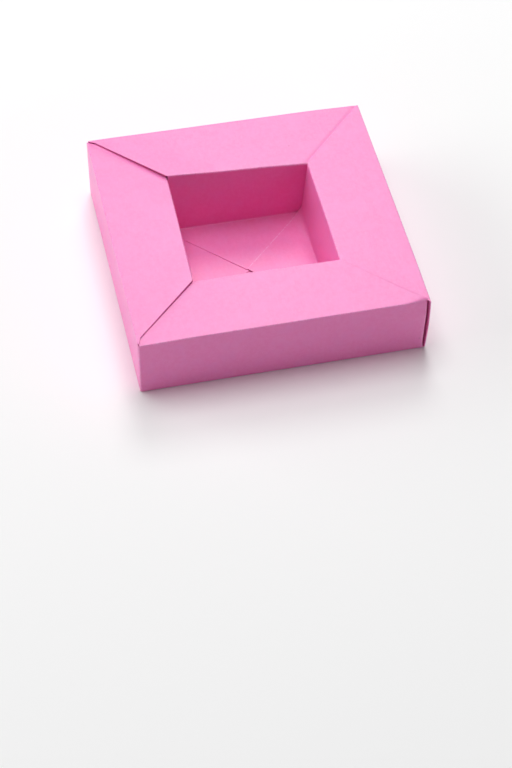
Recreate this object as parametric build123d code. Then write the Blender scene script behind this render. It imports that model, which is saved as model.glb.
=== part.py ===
from build123d import *
import os
from math import sqrt

# Origami box with a wide mitred rim and a square well, folded from one square of paper.
# The sheet lies diagonally across the box. Each of its four points makes a side: an outer wall,
# a rim, a wall of the well and, at the tip, a quarter of the well's floor.
# The sides weave round the box. At its right end a side's rim is turned under on the mitre and
# lies on its neighbour. At its left end the rim steps down and runs on below the other neighbour.
# What the corners have too much is tucked away in the hollow of the rim.
# Millimetres, +Z up, origin at the middle of the underside. The front side faces -Y.

# Driving sizes
sheet_side = 150.0  # the square before it is folded
fold_width = 17.68  # crease spacing, which is the wall height and the rim width
paper = 0.12  # thickness of the sheet
slack = 0.12  # air between layers that lie on each other
fold_radius = 0.25  # inside radius of the long folds
seam = 0.3  # gap along a mitre, and between the raw edges on the floor of the well

# Sizes that follow from the creases
height = fold_width
half_base = sheet_side / sqrt(2) / 2 - fold_width  # from the middle to the outer face of a wall
half_well = half_base - fold_width  # from the middle to the face of a well wall
pitch = paper + slack  # from one layer to the next
bend = fold_radius + paper  # outside radius of the long folds
foot = bend + slack  # where the tucks start, clear of the fold at the base
clear_fold = bend + 2 * pitch  # how far a mitre's turned edge keeps from the long folds
seam_across = seam * sqrt(2)  # the mitre's gap, measured along X or Y
paper_across = paper * sqrt(2)  # the sheet cut at 45 degrees
raw_edge = seam / sqrt(2)  # from a diagonal of the floor to a raw edge, along X or Y


def below_rim(layer):
    # Top face of a layer under the rim, where the rim itself is layer 0
    return height - layer * pitch


def inside_wall(layer):
    # Outer face of a layer inside a wall, from the middle, where the wall itself is layer 0
    return half_base - layer * pitch


def slab(outline, low, high):
    # An outline in plan, between two heights
    return extrude(Plane.XY.offset(low) * make_face(Polyline(*outline, close=True)), amount=high - low)


def level_flap(outline, layer):
    # A flap that lies flat in a layer under the rim
    return slab(outline, below_rim(layer) - paper, below_rim(layer))


def flap_across_x(outline, x, thickness=paper):
    # An upright flap square to X, from its outline in (y, z)
    return extrude(Plane.YZ.offset(x) * make_face(Polyline(*outline, close=True)), amount=thickness)


def flap_across_y(outline, y, thickness=paper):
    # An upright flap square to Y, from its outline in (x, z)
    return extrude(Plane.XZ.offset(-y) * make_face(Polyline(*outline, close=True)), amount=-thickness)


def turned_edge(low, high):
    # A strip along an edge where the sheet is folded back on itself, from corner to corner
    size = [b - a for a, b in zip(low, high)]
    return Pos(*low) * Box(*size, align=Align.MIN)


def side_strip():
    # The front side: edge of the base, wall, rim, well wall and floor in one bent section
    middle = paper / 2
    section = FilletPolyline(
        (-half_well - middle, middle),
        (-half_base + middle, middle),
        (-half_base + middle, height - middle),
        (-half_well - middle, height - middle),
        (-half_well - middle, pitch + middle),
        (0, pitch + middle),
        radius=fold_radius + middle,
    )
    length = 2 * half_base
    bar = extrude(Plane.YZ.offset(-half_base) * trace(section, paper), amount=length)

    rim_outline = [
        (-half_base + seam_across, -half_base),
        (half_base, -half_base),
        (half_well, -half_well),
        (-half_well + seam_across, -half_well),
    ]
    wall_end = inside_wall(2)
    well_end = half_well - slack
    below_outline = [
        (-half_base, -half_base),
        (wall_end, -half_base),
        (wall_end, -half_base + bend),
        (well_end, -half_base + bend),
        (well_end, -half_well),
        (half_well - raw_edge, -half_well),
        (0, -raw_edge),
        (-half_well + raw_edge, -half_well),
        (-half_well, -half_well),
        (-half_well, -half_base + bend),
        (-half_base, -half_base + bend),
    ]
    rim_from = height - bend
    return bar & (slab(rim_outline, rim_from, height) + slab(below_outline, 0, rim_from))


def running_end():
    # Left end of the front side, where its rim runs on below the left rim
    left = -half_base
    near = -inside_wall(2)
    far = -half_well
    start = left + clear_fold
    stop = far - bend
    over = seam_across + paper_across

    step_down = slab(
        [
            (start + seam_across, start),
            (start + over, start),
            (stop + over, stop),
            (stop + seam_across, stop),
        ],
        below_rim(2) - paper,
        height,
    )
    rim_end = level_flap([(near, near), (near + over, near), (far + over, far), (near, far)], 2)
    rim_turn = turned_edge((near, near, below_rim(3) - paper), (near + paper, far, below_rim(2)))
    under_rim = level_flap([(near, -inside_wall(1)), (far, -inside_wall(1)), (near, far)], 3)
    well_end = flap_across_y(
        [(far + paper, below_rim(2)), (near, below_rim(2)), (far, foot), (far + paper, foot)],
        -half_well - paper,
    )

    tuck_top = below_rim(3)
    tuck_leg = tuck_top - foot
    tuck = flap_across_y([(left, foot), (left, tuck_top), (left + tuck_leg, tuck_top)], -inside_wall(1))
    wall_turn = turned_edge((left, left, foot), (left + paper, -inside_wall(1) + paper, tuck_top))

    inner_leg = below_rim(4) - foot
    tuck_turn = flap_across_y(
        [
            (left, foot),
            (left + inner_leg, below_rim(4)),
            (left + inner_leg - paper_across, below_rim(4)),
            (left, foot + paper_across),
        ],
        -inside_wall(1),
        pitch + paper,
    )
    return [step_down, rim_end, rim_turn, under_rim, well_end, tuck, wall_turn, tuck_turn]


def turned_end():
    # Right end of the front side, where its rim is turned under on the mitre, over the right rim
    front = -half_base
    near = -inside_wall(1)
    far = -half_well
    start = half_well + bend
    stop = half_base - clear_fold

    mitre_turn = slab(
        [
            (start, -start),
            (stop, -stop),
            (stop - paper_across, -stop),
            (start - paper_across, -start),
        ],
        below_rim(1) - paper,
        height,
    )
    rim_end = level_flap(
        [
            (half_well - pitch, near),
            (inside_wall(1), near),
            (start, -start),
            (half_well - pitch, -start),
        ],
        1,
    )
    rim_turn = turned_edge(
        (half_well, near, below_rim(4) - paper), (inside_wall(2), near + paper, below_rim(1))
    )
    under_rim = level_flap([(half_well, near), (inside_wall(2), near), (inside_wall(2), far)], 4)
    well_end = flap_across_x(
        [(far, foot), (far, height - bend), (-start, below_rim(1)), (near, below_rim(1))],
        half_well - pitch,
    )

    tuck_top = below_rim(4)
    tuck_leg = tuck_top - foot
    tuck = flap_across_x(
        [(front, foot), (front, tuck_top), (front + tuck_leg, tuck_top)], inside_wall(2) - paper
    )
    return [mitre_turn, rim_end, rim_turn, under_rim, well_end, tuck]


def folded_sheet():
    edge = half_base - bend
    base = slab([(-edge, -edge), (edge, -edge), (edge, edge), (-edge, edge)], 0, paper)
    side = side_strip().fuse(*running_end(), *turned_end())
    return base.fuse(*[Rot(0, 0, quarter * 90) * side for quarter in range(4)])


sheet = folded_sheet().solid()
flat_area = sheet.volume / paper
print(f"sheet {sheet_side:.1f} mm square, box {2 * half_base:.1f} x {height:.1f} mm, well {2 * half_well:.1f} mm")
print(f"paper in the solid {flat_area:.0f} mm2, in the flat sheet {sheet_side ** 2:.0f} mm2")

os.makedirs("parts", exist_ok=True)
export_step(sheet, "parts/folded_sheet.step")
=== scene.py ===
import bpy
import bmesh
from math import cos, pi, radians, sin, sqrt
from mathutils import Matrix, Vector


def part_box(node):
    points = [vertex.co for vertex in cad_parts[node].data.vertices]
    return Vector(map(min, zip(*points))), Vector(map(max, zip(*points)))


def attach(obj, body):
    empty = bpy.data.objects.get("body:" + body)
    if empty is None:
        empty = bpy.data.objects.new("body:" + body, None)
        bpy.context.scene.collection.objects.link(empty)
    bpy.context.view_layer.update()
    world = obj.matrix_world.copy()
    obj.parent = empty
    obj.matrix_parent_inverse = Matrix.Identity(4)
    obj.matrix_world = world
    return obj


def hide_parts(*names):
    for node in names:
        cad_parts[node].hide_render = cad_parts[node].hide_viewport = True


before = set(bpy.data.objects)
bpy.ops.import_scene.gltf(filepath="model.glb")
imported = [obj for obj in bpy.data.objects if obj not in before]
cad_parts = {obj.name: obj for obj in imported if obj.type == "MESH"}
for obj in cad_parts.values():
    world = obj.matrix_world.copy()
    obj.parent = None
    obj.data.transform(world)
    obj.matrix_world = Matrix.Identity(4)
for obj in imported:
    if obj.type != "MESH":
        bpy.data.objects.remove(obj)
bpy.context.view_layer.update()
print("frame loaded")

mm = 0.001
same = 1e-6  # metres; points nearer than this are in one place
thinCut = 1e-7  # the same for a cutting plane
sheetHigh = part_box("folded_sheet")[1]
height = sheetHigh.z
halfBase = sheetHigh.x
halfWell = halfBase - height  # the rim is as wide as the wall is high
up = Vector((0, 0, 1))

# The sheet is folded up in the order of the real one: base, wall, rim, well wall, floor.
# What is modelled is the coloured face of the paper; its thickness lies behind it.
foldedSheet = {
    "columns": 48,  # faces along one side
    "endColumns": (0.35 * mm, 0.8 * mm, 1.5 * mm),  # extra columns this far from a side's ends
    "rows": 13,  # faces across one panel, between its holding rows
    "hold": 0.28 * mm,  # a row this close to a fold keeps the panel flat
    "paper": 0.12 * mm,
    "layerGap": 0.12 * mm,  # air between the layers at a corner
    # radii of the folds, and how many faces go round them
    "footBend": 0.38 * mm,
    "rimBend": 0.28 * mm,
    "wellBend": 0.34 * mm,
    "floorBend": 0.3 * mm,
    "bendSteps": 6,
    "bendShare": 2,  # rows of the bends beside a wall that turn with its ends
    "mitreFold": 0.13 * mm,  # the rim's edge that is turned under
    "edgeSteps": 6,  # round a doubled edge
    "wallCornerSteps": 5,
    "wellCorner": 0.3 * mm,  # where a wall of the well turns its corner
    "wellCornerSteps": 4,
    "floorWear": 0.15,  # the folds round the floor are hardly worn
    # how far the differences between the sides reach
    "sinkReach": 10 * mm,  # from the seam, for sink and gape
    "dipReach": 1.1 * mm,
    "riseReach": 12 * mm,
    "sinkDepth": 6 * mm,  # down the walls, for all four
    "onWell": 0.1 * mm,  # points this near to the wall of the well belong to it
    "rimReach": 6 * mm,  # from the corner, for softRim
    "floorReach": 15 * mm,  # for softFloor
    "hookReach": 0.8 * mm,  # a cut-back mitre runs out to the corner over this width
    "leftReach": 8 * mm,  # from the left end of the wall, for bulge
    "rightReach": 7 * mm,  # from its right end, for slit and pull
    "inwardReach": (1 * mm, 6 * mm),  # these three fade out between these distances from the wall
    "slitRise": (0.2 * mm, 1.5 * mm),  # the slit opens between these heights
    "pullDepth": 5 * mm,  # below the rim
    # the flaps in the hollow of the rim
    "flapRows": 8,
    "flapSlope": 0.93,  # width of a flap for its height
    "wellFlapSlope": 0.9,
    "flapBelow": 0.3 * mm,  # flaps of a wall would come to a point this far below the base
    "wellFlapFrom": 0.6 * mm,  # and flaps of the well this far above it
    "flapClear": 0.9 * mm,  # flaps keep this far below the rim
    "floorClear": 1.2 * mm,  # flaps of the well keep this far above the base
    "wallClear": 1 * mm,  # the running end of a rim starts this far inside the wall
    "runOn": 0.75 * mm,  # and ends this far inside it
    "mitreClear": 1.5 * mm,  # the flap under a mitre starts this far inside the wall
    "mitreOver": 0.04 * mm,  # and ends this far past the edge of the well
    "rawEdge": 0.35 * mm,  # width of the paler strip along a cut
}

# How each side sits. Left and right are seen from outside that side.
# wallFold, cornerBend: radius of the doubled edge at the wall's left end, and of the turn at its right
# sink, dip: how far the rim's left end lies below its neighbour, and how far it drops right at the seam
# gape: how much lower still it lies at the corner of the well, or higher where negative
# rise: how far the rim's right end stands up at the corner of the well
# level, tipLift: height of its quarter of the floor, and the rise to its tip
# leftOver, rightOver: how far the quarter's raw edges reach over their neighbours
# short, wide: how far the mitre at its right end is cut back outside, and how far its left end runs on
# softRim, softFloor: radius to which these folds open towards their right end
# pull: how far the right end of the fold along the rim is drawn in
# slit: how far the wall stops short at its right end
# bulge: how far the doubled edge stands out at half its height
# frayedAndLit: how pale its raw edges on the floor are, from cut fibres; the right quarter's much paler
# edge is partly a painted highlight where that edge catches the light
plainSide = {
    "cornerBend": 0.3 * mm, "dip": 0.0, "gape": 0.0, "rise": 0.0, "softRim": 0.0, "softFloor": 0.0,
    "pull": 0.0, "slit": 0.0, "bulge": 0.0, "short": 0.0, "wide": 0.0, "frayedAndLit": 0.5,
}
sides = {
    "front": {
        "next": "right", "wallFold": 0.5 * mm, "cornerBend": 0.7 * mm,
        "sink": 0.22 * mm, "dip": 0.06 * mm, "gape": 0.12 * mm,
        "level": 0.3 * mm, "tipLift": 0.0, "leftOver": 0.0, "rightOver": 0.0,
        "softRim": 1.2 * mm, "pull": 0.5 * mm, "slit": 0.2 * mm, "wide": 1.5 * mm,
    },
    "right": {
        "next": "back", "wallFold": 0.125 * mm,
        "sink": 0.42 * mm, "gape": -0.14 * mm,
        "level": 0.68 * mm, "tipLift": 0.1 * mm, "leftOver": 0.3 * mm, "rightOver": 0.4 * mm,
        # the right quarter's raw edges are much paler: partly cut fibres, partly a painted highlight
        # where the edge faces the light
        "softFloor": 2.6 * mm, "bulge": 0.25 * mm, "frayedAndLit": 3.0,
    },
    "back": {
        "next": "left", "wallFold": 0.15 * mm,
        "sink": 0.28 * mm, "dip": 0.1 * mm, "rise": 0.36 * mm,
        "level": 0.55 * mm, "tipLift": 0.1 * mm, "leftOver": 0.0, "rightOver": 0.4 * mm,
        "short": 0.8 * mm,
    },
    "left": {
        "next": "front", "wallFold": 0.15 * mm,
        "sink": 0.22 * mm, "dip": 0.16 * mm, "gape": 0.16 * mm, "rise": 0.14 * mm,
        "level": 0.42 * mm, "tipLift": 0.05 * mm, "leftOver": 0.0, "rightOver": 0.3 * mm,
        "short": 1.4 * mm, "wide": 0.7 * mm,
    },
}


def smoothStep(low, high, value):
    t = min(1.0, max(0.0, (value - low) / (high - low)))
    return t * t * (3 - 2 * t)


def carryRow(bm, row, matrix):
    made = bmesh.ops.extrude_edge_only(bm, edges=row)["geom"]
    verts = [g for g in made if isinstance(g, bmesh.types.BMVert)]
    bmesh.ops.transform(bm, matrix=matrix, verts=verts, space=Matrix())
    fresh = set(verts)
    edges = [g for g in made if isinstance(g, bmesh.types.BMEdge) and set(g.verts) <= fresh]
    return edges, verts


def about(centre, axis, angle):
    centre = Vector(centre)
    turn = Matrix.Rotation(angle, 4, axis)
    return Matrix.Translation(centre) @ turn @ Matrix.Translation(-centre)


def fitX(old, new):
    scale = (new[1] - new[0]) / (old[1] - old[0])
    matrix = Matrix()
    matrix[0][0] = scale
    matrix[0][3] = new[0] - scale * old[0]
    return matrix


class Strip:
    # one side of the box, grown row by row from the edge of the base
    def __init__(self, bm, row, wearAndHighlight):
        self.bm, self.row, self.wearAndHighlight = bm, row, wearAndHighlight
        xs = [v.co.x for e in row for v in e.verts]
        self.span = (min(xs), max(xs))
        self.left, self.right, self.verts = [], [], []

    def grow(self, matrix, span, paleMark):
        edges, verts = carryRow(self.bm, self.row, fitX(self.span, span) @ matrix)
        self.row, self.span = edges, span
        for v in verts:
            v[self.wearAndHighlight] = paleMark
        self.left.append(min(verts, key=lambda v: v.co.x))
        self.right.append(max(verts, key=lambda v: v.co.x))
        self.verts.append(verts)

    def turn(self, centre, angle, steps, span, wear=1.0):
        # goes round a fold, whose first and last rows are worn less
        start = self.span
        edgeWear = 0.55 * wear
        for verts in self.verts[-1:]:
            for v in verts:
                v[self.wearAndHighlight] = edgeWear
        for k in range(1, steps + 1):
            t = k / steps
            here = [a + (b - a) * t for a, b in zip(start, span)]
            self.grow(about(centre, "X", angle / steps), here, wear if k < steps else edgeWear)

    def run(self, distance, direction, rows, hold, spanAt, extra=()):
        # straight panel with a holding row next to each fold; spanAt gives its ends at a distance
        inside = [hold + (distance - 2 * hold) * k / rows for k in range(rows + 1)]
        inside = sorted([*inside, *extra, distance])
        done = 0.0
        first = len(self.left) - 1
        for reach in inside:
            self.grow(Matrix.Translation(Vector(direction) * (reach - done)), spanAt(reach), 0.0)
            done = reach
        return first

    def between(self, first, last):
        return [v for verts in self.verts[first:last] for v in verts]


def chain(bm, verts):
    return [bm.edges.get(pair) for pair in zip(verts, verts[1:])]


def curlEdge(bm, row, ahead, inward, radius, angle, steps, wearAndHighlight):
    # carries an edge along an arc that starts straight ahead and curls inward
    ahead, inward = Vector(ahead).normalized(), Vector(inward).normalized()
    spot = Vector((0, 0, 0))
    for k in range(1, steps + 1):
        here = angle * k / steps
        there = ahead * (radius * sin(here)) + inward * (radius * (1 - cos(here)))
        row, verts = carryRow(bm, row, Matrix.Translation(there - spot))
        spot = there
        for v in verts:
            v[wearAndHighlight] = 1.0
    return row


def shareOf(matrix, t):
    return Matrix() * (1 - t) + matrix * t


def runFlap(bm, row, moves, steps, wearAndHighlight):
    # a flat flap in a few rows
    # moves is a list of (test, matrix), and a point takes the first that fits
    for k in range(1, steps + 1):
        row, verts = carryRow(bm, row, Matrix())
        waiting = set(verts)
        for v in verts:
            v[wearAndHighlight] = 0.0
        for test, matrix in moves:
            chosen = [v for v in waiting if test(v.co)]
            part = shareOf(matrix, k / steps) @ shareOf(matrix, (k - 1) / steps).inverted()
            bmesh.ops.transform(bm, matrix=part, verts=chosen, space=Matrix())
            waiting -= set(chosen)
    return row


def shear(to, by, factor, start):
    # moves axis `to` by factor times the distance of axis `by` from start
    matrix = Matrix()
    matrix[to][by] = factor
    matrix[to][3] = -factor * start
    return matrix


def flatten(axis, value):
    matrix = Matrix()
    matrix[axis][axis] = 0.0
    matrix[axis][3] = value
    return matrix


def softenFold(verts, corner, ahead, down, tight, radiusAt):
    # opens a tight fold between two square panels to a rounder one, whose radius changes along x
    corner, ahead, down = Vector(corner), Vector(ahead), Vector(down)
    for v in verts:
        radius = radiusAt(v.co.x)
        a, d = (v.co - corner).dot(ahead), (v.co - corner).dot(down)
        if radius <= tight or abs(a - d) >= radius:
            continue
        turn = (1 - abs(a - d) / radius) * pi / 4
        far, near = radius * (1 - sin(turn)), radius * (1 - cos(turn))
        newA, newD = (far, near) if a >= d else (near, far)
        v.co += ahead * (newA - a) + down * (newD - d)


def everything(co):
    return True


def clearOfRim(edges, s):
    return [e for e in edges if all(v.co.z < height - s["flapClear"] for v in e.verts)]


def sinkEnds(verts, side, s):
    # the left end of the rim dips below its neighbour, and the right end may stand up a little
    b, w, h = halfBase, halfWell, height
    for v in verts:
        x, y, z = v.co
        onWell = y > -w - s["onWell"]
        toLeft = (x + w if onWell else x - max(y, -b)) / sqrt(2)
        toRight = (w - x if onWell else min(-y, b) - x) / sqrt(2)
        outLeft, outRight = [
            min(1.0, max(0.0, (out - w) / (b - w))) for out in ((-x - y) / 2, (x - y) / 2)
        ]
        lower = side["sink"] + side["gape"] * (1 - outLeft)
        lower *= 1 - smoothStep(0, s["sinkReach"], toLeft)
        lower += side["dip"] * (1 - smoothStep(0, s["dipReach"], toLeft))
        lower -= side["rise"] * (1 - outRight) * (1 - smoothStep(0, s["riseReach"], toRight))
        v.co.z -= lower * smoothStep(h - s["sinkDepth"], h, z)


def standEnds(verts, side, s):
    # how the two ends of the wall stand
    b, h = halfBase, height
    near, far = s["inwardReach"]
    for v in verts:
        x, y, z = v.co
        outside = 1 - smoothStep(-b + near, -b + far, y)
        rightEnd = smoothStep(b - s["rightReach"], b, x) * outside
        leftEnd = (1 - smoothStep(-b, -b + s["leftReach"], x)) * outside
        v.co.x -= side["slit"] * rightEnd * smoothStep(*s["slitRise"], z)
        v.co.y += side["pull"] * rightEnd * smoothStep(h - s["pullDepth"], h, z)
        v.co.y -= side["bulge"] * leftEnd * sin(pi * min(1.0, max(0.0, z / h)))


def cutFloor(bm, side, wearAndHighlight, onFloor, s):
    # the raw edges on the floor, at 45 degrees, each with a row beside it
    for end, sign in (("leftOver", -1), ("rightOver", 1)):
        for inset, cut in ((s["rawEdge"] * sqrt(2), False), (0.0, True)):
            faces = [
                f for f in bm.faces
                if all(v[onFloor] for v in f.verts) and f.calc_center_median().y < 0
            ]
            geom = list(dict.fromkeys(g for f in faces for g in (*f.verts, *f.edges, f)))
            made = bmesh.ops.bisect_plane(
                bm, geom=geom, dist=thinCut, plane_co=(sign * (side[end] - inset), 0, 0),
                plane_no=(sign, 1, 0), clear_outer=cut)
            for g in made["geom_cut"]:
                if isinstance(g, bmesh.types.BMVert):
                    # the cut takes its side's paleness: cut fibres, and on the right quarter also a
                    # painted highlight along the lit edge
                    g[wearAndHighlight] = side["frayedAndLit"] if cut else 0.0
                    g[onFloor] = 1
    for v in bm.verts:
        v[onFloor] = 0


def foldSide(bm, name, wearAndHighlight, onFloor, s):
    b, w, h = halfBase, halfWell, height
    side = {**plainSide, **sides[name]}
    older = set(bm.verts)
    edge = b - s["footBend"]
    row = [
        e for e in bm.edges
        if e.is_boundary and all(abs(v.co.y + edge) < same and abs(v.co.z) < same for v in e.verts)
    ]
    strip = Strip(bm, row, wearAndHighlight)
    quarterTurn = -pi / 2
    mitreInset = s["mitreFold"] * sqrt(2)

    # foot and wall
    behindWall = 2 * sides[side["next"]]["wallFold"] + s["layerGap"]
    wallEnd = b - behindWall - side["cornerBend"]
    wallSpan = (-b + side["wallFold"], wallEnd)
    strip.turn((0, -edge, s["footBend"]), quarterTurn, s["bendSteps"], wallSpan)
    wallRun = h - s["footBend"] - s["rimBend"]
    wallFirst = strip.run(wallRun, up, s["rows"], s["hold"], lambda t: wallSpan)
    wallLast = len(strip.left)

    # rim, narrowing along the two mitres
    start = b - s["rimBend"]
    rimRun = start - w - s["wellBend"]

    def rimSpan(t):
        ahead = 1 - t / rimRun
        cutBack = side["short"] * ahead * smoothStep(0, s["hookReach"], t)
        return -(start - t) - min(t, side["wide"] * ahead), start - t - mitreInset - cutBack

    strip.turn((0, -start, h - s["rimBend"]), quarterTurn, s["bendSteps"], rimSpan(0))
    rimFirst = strip.run(rimRun, (0, 1, 0), s["rows"], s["hold"], rimSpan, [s["hookReach"]])
    rimLast = len(strip.left)

    # wall of the well
    wellEnd = w - s["layerGap"] - s["wellCorner"]
    wellSpan = (-w, wellEnd)
    strip.turn((0, -w - s["wellBend"], h - s["wellBend"]), quarterTurn, s["bendSteps"], wellSpan)
    wellRun = h - s["wellBend"] - s["floorBend"] - side["level"]
    wellFirst = strip.run(wellRun, -up, s["rows"], s["hold"], lambda t: wellSpan)
    wellLast = len(strip.left)

    # quarter of the floor
    floorTurn = (0, -w + s["floorBend"], side["level"] + s["floorBend"])
    strip.turn(floorTurn, -quarterTurn, s["bendSteps"], wellSpan, s["floorWear"])
    floorFirst = strip.run(w - s["floorBend"], (0, 1, 0), s["rows"], s["hold"], lambda t: wellSpan)
    floorVerts = strip.between(floorFirst, None)
    for v in floorVerts:
        v[onFloor] = 1
    lift = shear(2, 1, side["tipLift"] / w, -w + s["floorBend"])
    bmesh.ops.transform(bm, matrix=lift, verts=floorVerts, space=Matrix())

    # folds that are soft towards their right end
    softenFold(
        strip.between(wallFirst, rimLast), (0, -b, h), (0, 1, 0), -up, s["rimBend"],
        lambda x: side["softRim"] * smoothStep(b - s["rimReach"], b, x))
    softenFold(
        strip.between(wellFirst, None), (0, -w, side["level"]), (0, 1, 0), up, s["floorBend"],
        lambda x: side["softFloor"] * smoothStep(w - s["floorReach"], w, x))
    sinkEnds(strip.between(wallFirst, wellLast), side, s)

    # left end: the wall is doubled back, the rim and the well wall run on under the left rim
    wallRows = slice(wallFirst - s["bendShare"], wallLast + s["bendShare"])
    turned = curlEdge(
        bm, chain(bm, strip.left[wallRows]), (-1, 0, 0), (0, 1, 0), side["wallFold"], pi,
        s["edgeSteps"], wearAndHighlight)
    wallFlap = shear(0, 2, s["flapSlope"], -s["flapBelow"])
    runFlap(bm, clearOfRim(turned, s), [(everything, wallFlap)], s["flapRows"], wearAndHighlight)
    rimLeft = [
        v for v in strip.left[rimFirst:wellLast]
        if v.co.x > -b + s["wallClear"] and v.co.z > s["floorClear"]
    ]
    rimEnd = -w - s["wellBend"] + same
    rimFlap = flatten(0, -b + s["runOn"])
    wellFlap = shear(0, 2, -s["flapSlope"], s["wellFlapFrom"])
    runFlap(
        bm, chain(bm, rimLeft), [(lambda co: co.y < rimEnd, rimFlap), (everything, wellFlap)],
        s["flapRows"], wearAndHighlight)

    # right end: the rim is turned under on the mitre, the walls turn the corner
    turned = curlEdge(
        bm, chain(bm, strip.right[rimFirst:rimLast]), (1, 1, 0), -up, s["mitreFold"], pi,
        s["edgeSteps"], wearAndHighlight)
    flapRow = [e for e in turned if all(v.co.y > -b + s["mitreClear"] for v in e.verts)]
    runFlap(bm, flapRow, [(everything, flatten(0, w - s["mitreOver"]))], s["flapRows"], wearAndHighlight)
    turned = curlEdge(
        bm, chain(bm, strip.right[wallRows]), (1, 0, 0), (0, 1, 0), side["cornerBend"], pi / 2,
        s["wallCornerSteps"], wearAndHighlight)
    wallFlap = shear(1, 2, s["flapSlope"], -s["flapBelow"])
    runFlap(bm, clearOfRim(turned, s), [(everything, wallFlap)], s["flapRows"], wearAndHighlight)
    wellRows = slice(rimLast + s["bendSteps"] // 2, wellLast + s["bendSteps"] - 1)
    turned = curlEdge(
        bm, chain(bm, strip.right[wellRows]), (1, 0, 0), (0, -1, 0), s["wellCorner"], pi / 2,
        s["wellCornerSteps"], wearAndHighlight)
    flapRow = [e for e in clearOfRim(turned, s) if all(v.co.z > s["floorClear"] for v in e.verts)]
    wellFlap = shear(1, 2, -s["wellFlapSlope"], s["wellFlapFrom"])
    runFlap(bm, flapRow, [(everything, wellFlap)], s["flapRows"], wearAndHighlight)

    standEnds(set(bm.verts) - older, side, s)
    cutFloor(bm, side, wearAndHighlight, onFloor, s)


# Where the real box departs from the even creases: moves of its corners, in plan, seen from above
cornerMoves = {
    (-1, 1): {"foot": (-0.3, 0.0), "rim": (-0.42, 0.56), "well": (-0.35, 0.85)},
    (1, 1): {"foot": (0.4, 0.0), "rim": (0.32, 0.2), "well": (0.0, -1.1)},
    (1, -1): {"foot": (0.3, 0.0), "rim": (0.44, -0.84), "well": (0.0, -0.6)},
    (-1, -1): {"foot": (0.0, 0.0), "rim": (-0.22, -0.88), "well": (-1.05, -0.2)},
}
floorMove = (-1.25, -1.05)


def settle(co):
    # everything between the moved corners follows in straight lines
    reach = max(abs(co.x), abs(co.y), halfWell)
    inward = max(0.0, (halfBase - reach) / (halfBase - halfWell))
    upward = min(1.0, co.z / height)
    moved = co.copy()
    for (sideX, sideY), move in cornerMoves.items():
        share = (1 + sideX * co.x / reach) / 2 * (1 + sideY * co.y / reach) / 2
        for axis in (0, 1):
            outer = move["rim"][axis] * upward + move["foot"][axis] * (1 - upward)
            inner = move["well"][axis] * upward + floorMove[axis] * (1 - upward)
            moved[axis] += mm * share * (outer * (1 - inward) + inner * inward)
    return moved


def makeSheet():
    s = foldedSheet
    bm = bmesh.new()
    # paleness of folds and raw edges: real wear, plus a painted highlight along the right quarter's raw
    # edge
    wearAndHighlight = bm.verts.layers.float.new("wearAndHighlight")
    onFloor = bm.verts.layers.int.new("onFloor")
    edge = halfBase - s["footBend"]
    bmesh.ops.create_grid(bm, x_segments=s["columns"], y_segments=s["columns"], size=edge)
    for inset in s["endColumns"]:
        for normal in ((1, 0, 0), (-1, 0, 0), (0, 1, 0), (0, -1, 0)):
            bmesh.ops.bisect_plane(
                bm, geom=[*bm.verts, *bm.edges, *bm.faces], dist=thinCut,
                plane_co=Vector(normal) * (edge - inset), plane_no=normal)
    for name in ("front", "right", "back", "left"):
        foldSide(bm, name, wearAndHighlight, onFloor, s)
        bmesh.ops.rotate(bm, cent=(0, 0, 0), matrix=Matrix.Rotation(-pi / 2, 3, "Z"), verts=bm.verts)
    bmesh.ops.recalc_face_normals(bm, faces=bm.faces)
    base = min(bm.faces, key=lambda f: f.calc_center_median().z)
    if base.normal.z > 0:
        bmesh.ops.reverse_faces(bm, faces=bm.faces)
    for v in bm.verts:
        v.co = settle(v.co)
    for f in bm.faces:
        f.smooth = True
    for e in bm.edges:
        e.smooth = not e.is_boundary  # cut edges stay crisp
    loose = sum(1 for e in bm.edges if len(e.link_faces) != 2 and not e.is_boundary)
    print("sheet folded:", len(bm.faces), "faces,", loose, "bad edges")
    mesh = bpy.data.meshes.new("paperBox")
    bm.to_mesh(mesh)
    bm.free()
    paperBox = bpy.data.objects.new("paperBox", mesh)
    bpy.context.scene.collection.objects.link(paperBox)
    thick = paperBox.modifiers.new("paperThickness", "SOLIDIFY")
    thick.thickness = s["paper"]
    thick.offset = -1
    thick.use_even_offset = True
    thick.use_rim = True
    return paperBox


pinkPaper = {
    "deep": (0.915, 0.205, 0.505, 1),  # pulp between the fibres
    "pale": (0.935, 0.235, 0.545, 1),
    "lilac": (0.895, 0.24, 0.565, 1),  # greyer patches of the pulp
    "wornAndLit": (0.97, 0.45, 0.73, 1),  # dye cracked open along a fold, pale fibres and cut edges, and a painted highlight along the right quarter's raw edge
    "speck": (0.4, 0.07, 0.2, 1),
    # each noise: scale per metre, detail and roughness
    "mottle": (1100, 4, 0.6),  # about 0.9 mm
    "patches": (210, 3, 0.5),
    "grain": (2900, 3, 0.6),
    "fibre": (1.0, 2, 0.5),  # stretched by fibreScale
    "fibreScale": (3600, 520, 1300),
    "fibreLay": ((0.0, 0.4, 0.9), (0.7, 1.1, 2.2), (1.4, 0.2, 3.4)),  # turned, to lie every way
    # where in its noise a mark begins, and where it is full
    "mottleFrom": (0.3, 0.7),
    "patchesFrom": (0.45, 0.7),
    "grainFrom": (0.35, 0.65),
    "fibreFrom": (0.58, 0.72),
    "lilacAmount": 0.5,
    "fibreAmount": 0.06,
    "paleAmount": 0.5,
    "speckScale": 105,
    "speckSize": 0.018,
    "speckEdge": (1.5, 0.7),  # times its size, from clear to full
    "speckAmount": 0.55,
    "rough": 0.36,
    "shine": 0.42,
    "through": 0.2,  # share of the light that goes into the sheet and wanders there
    "throughReach": (0.5, 0.06, 0.16),  # how far, in millimetres, for red, green and blue
    "tooth": 0.0000022,  # height of the paper's tooth, in metres
    "mottleTooth": 1.2,  # shares of the mottle and the fibres in it, beside the grain's
    "fibreTooth": 0.35,
}


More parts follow.
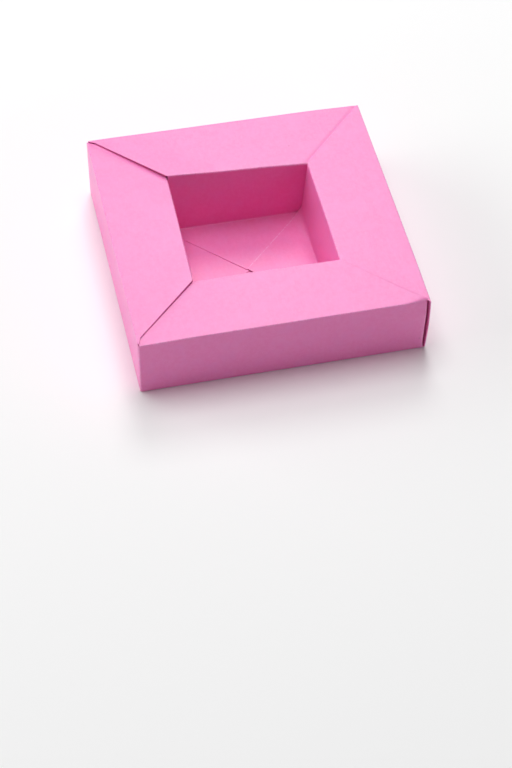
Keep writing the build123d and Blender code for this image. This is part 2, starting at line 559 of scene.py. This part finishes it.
def makePaperMaterial():
    p = pinkPaper
    material = bpy.data.materials.new("pinkPaper")
    material.use_nodes = True
    nodes, links = material.node_tree.nodes, material.node_tree.links
    shader = nodes["Principled BSDF"]
    place = nodes.new("ShaderNodeTexCoord").outputs["Object"]

    def noise(scale, detail, rough, vector=place):
        node = nodes.new("ShaderNodeTexNoise")
        node.inputs["Scale"].default_value = scale
        node.inputs["Detail"].default_value = detail
        node.inputs["Roughness"].default_value = rough
        links.new(vector, node.inputs["Vector"])
        return node.outputs["Fac"]

    def spread(value, low, high):
        node = nodes.new("ShaderNodeMapRange")
        node.interpolation_type = "SMOOTHSTEP"
        links.new(value, node.inputs["Value"])
        node.inputs["From Min"].default_value = low
        node.inputs["From Max"].default_value = high
        return node.outputs["Result"]

    def times(a, b):
        node = nodes.new("ShaderNodeMath")
        node.operation = "MULTIPLY"
        for socket, value in zip(node.inputs, (a, b)):
            if isinstance(value, float):
                socket.default_value = value
            else:
                links.new(value, socket)
        return node.outputs["Value"]

    def plus(a, b):
        node = nodes.new("ShaderNodeMath")
        node.operation = "ADD"
        links.new(a, node.inputs[0])
        links.new(b, node.inputs[1])
        return node.outputs["Value"]

    def blend(factor, first, second):
        node = nodes.new("ShaderNodeMix")
        node.data_type = "RGBA"
        links.new(factor, node.inputs["Factor"])
        for name, value in (("A", first), ("B", second)):
            socket = [i for i in node.inputs if i.name == name and i.type == "RGBA"][0]
            if isinstance(value, tuple):
                socket.default_value = value
            else:
                links.new(value, socket)
        return [o for o in node.outputs if o.type == "RGBA"][0]

    # pulp: mottle, greyer patches and fine fibres lying every way
    mottle = noise(*p["mottle"])
    patches = noise(*p["patches"])
    grain = noise(*p["grain"])
    fibres = []
    for turn in p["fibreLay"]:
        lay = nodes.new("ShaderNodeMapping")
        lay.inputs["Rotation"].default_value = turn
        lay.inputs["Scale"].default_value = p["fibreScale"]
        links.new(place, lay.inputs["Vector"])
        fibres.append(spread(noise(*p["fibre"], lay.outputs["Vector"]), *p["fibreFrom"]))
    fibre = plus(plus(fibres[0], fibres[1]), fibres[2])
    colour = blend(spread(mottle, *p["mottleFrom"]), p["deep"], p["pale"])
    colour = blend(times(spread(patches, *p["patchesFrom"]), p["lilacAmount"]), colour, p["lilac"])
    colour = blend(times(fibre, p["fibreAmount"]), colour, p["wornAndLit"])

    # folds, where the surface has cracked a little paler, and raw edges of the floor, paler from cut
    # fibres and, on the right quarter, from a painted highlight
    paleMark = nodes.new("ShaderNodeAttribute")
    paleMark.attribute_name = "wearAndHighlight"
    paleGrain = times(spread(grain, *p["grainFrom"]), p["paleAmount"])
    paleShare = times(paleMark.outputs["Fac"], paleGrain)
    colour = blend(paleShare, colour, p["wornAndLit"])

    # a few specks of unmixed pulp
    cells = nodes.new("ShaderNodeTexVoronoi")
    cells.inputs["Scale"].default_value = p["speckScale"]
    links.new(place, cells.inputs["Vector"])
    clear, full = [p["speckSize"] * share for share in p["speckEdge"]]
    speck = spread(cells.outputs["Distance"], clear, full)
    colour = blend(times(speck, p["speckAmount"]), colour, p["speck"])
    links.new(colour, shader.inputs["Base Color"])

    shader.inputs["Roughness"].default_value = p["rough"]
    shader.inputs["Specular IOR Level"].default_value = p["shine"]
    shader.inputs["Subsurface Weight"].default_value = p["through"]
    shader.inputs["Subsurface Radius"].default_value = p["throughReach"]
    shader.inputs["Subsurface Scale"].default_value = mm
    tooth = nodes.new("ShaderNodeBump")
    tooth.inputs["Strength"].default_value = 1.0
    tooth.inputs["Distance"].default_value = p["tooth"]
    relief = plus(plus(grain, times(mottle, p["mottleTooth"])), times(fibre, p["fibreTooth"]))
    links.new(relief, tooth.inputs["Height"])
    links.new(tooth.outputs["Normal"], shader.inputs["Normal"])
    return material


paperBox = makeSheet()
paperBox.data.materials.append(makePaperMaterial())
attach(paperBox, "root")
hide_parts("folded_sheet")

studio = {
    "cameraAt": (-85.424 * mm, -371.195 * mm, 394.15 * mm),
    "cameraAim": (-7.535 * mm, -38.468 * mm, 0),
    "cameraRoll": radians(0.978),
    "lens": 101.06,
    "clip": (0.01, 20),
    "floorSize": 3,
    "floorColour": (0.94, 0.94, 0.94, 1),
    "floorRough": 0.9,
    "worldLight": 0.09,
    "worldSeen": 0.92,  # pale surroundings for the camera
    "lamps": {
        "overhead": {"at": (-0.06, 0.24, 1.12), "size": (0.7, 0.7), "power": 8.2},
        "backdropLight": {"at": (0.16, 0.7, 0.78), "size": (0.36, 0.36), "power": 3.3},
        "sideWindow": {"at": (-1.2, 0.45, 0.4), "size": (1.4, 0.75), "power": 9.6},
        "fill": {"at": (0.6, -0.9, 0.25), "size": (0.8, 0.45), "power": 1.4},
    },
}


def strengthSeen(tree, lights, seen):
    # a strength with one value for light that falls on things and another for what is seen or mirrored
    rays = tree.nodes.new("ShaderNodeLightPath")
    value = rays.outputs["Is Camera Ray"]
    for other in ("Is Glossy Ray", "Is Transmission Ray"):
        step = tree.nodes.new("ShaderNodeMath")
        step.operation = "ADD"
        tree.links.new(value, step.inputs[0])
        tree.links.new(rays.outputs[other], step.inputs[1])
        value = step.outputs["Value"]
    choice = tree.nodes.new("ShaderNodeMapRange")
    tree.links.new(value, choice.inputs["Value"])
    choice.inputs["To Min"].default_value = lights
    choice.inputs["To Max"].default_value = seen
    return choice.outputs["Result"]


def makeStudio():
    s = studio
    scene = bpy.context.scene
    camera = bpy.data.objects.new("camera", bpy.data.cameras.new("camera"))
    scene.collection.objects.link(camera)
    camera.data.lens = s["lens"]
    camera.data.clip_start, camera.data.clip_end = s["clip"]
    camera.location = s["cameraAt"]
    aim = Vector(s["cameraAim"]) - Vector(s["cameraAt"])
    turn = aim.to_track_quat("-Z", "Y").to_matrix().to_4x4() @ Matrix.Rotation(s["cameraRoll"], 4, "Z")
    camera.rotation_euler = turn.to_euler()
    scene.camera = camera

    floorMesh = bmesh.new()
    bmesh.ops.create_grid(floorMesh, x_segments=1, y_segments=1, size=s["floorSize"])
    mesh = bpy.data.meshes.new("floor")
    floorMesh.to_mesh(mesh)
    floorMesh.free()
    floor = bpy.data.objects.new("floor", mesh)
    scene.collection.objects.link(floor)
    paint = bpy.data.materials.new("paleFloor")
    paint.use_nodes = True
    shader = paint.node_tree.nodes["Principled BSDF"]
    shader.inputs["Base Color"].default_value = s["floorColour"]
    shader.inputs["Roughness"].default_value = s["floorRough"]
    mesh.materials.append(paint)

    for name, lamp in s["lamps"].items():
        light = bpy.data.objects.new(name, bpy.data.lights.new(name, "AREA"))
        scene.collection.objects.link(light)
        light.data.shape = "RECTANGLE"
        light.data.size, light.data.size_y = lamp["size"]
        light.data.energy = lamp["power"]
        light.location = lamp["at"]
        light.rotation_euler = (-Vector(lamp["at"])).to_track_quat("-Z", "Y").to_euler()

    world = scene.world or bpy.data.worlds.new("World")
    scene.world = world
    world.use_nodes = True
    sky = world.node_tree.nodes["Background"]
    sky.inputs["Color"].default_value = (1, 1, 1, 1)
    strength = strengthSeen(world.node_tree, s["worldLight"], s["worldSeen"])
    world.node_tree.links.new(strength, sky.inputs["Strength"])
    scene.view_settings.view_transform = "Standard"


makeStudio()
print("studio set")
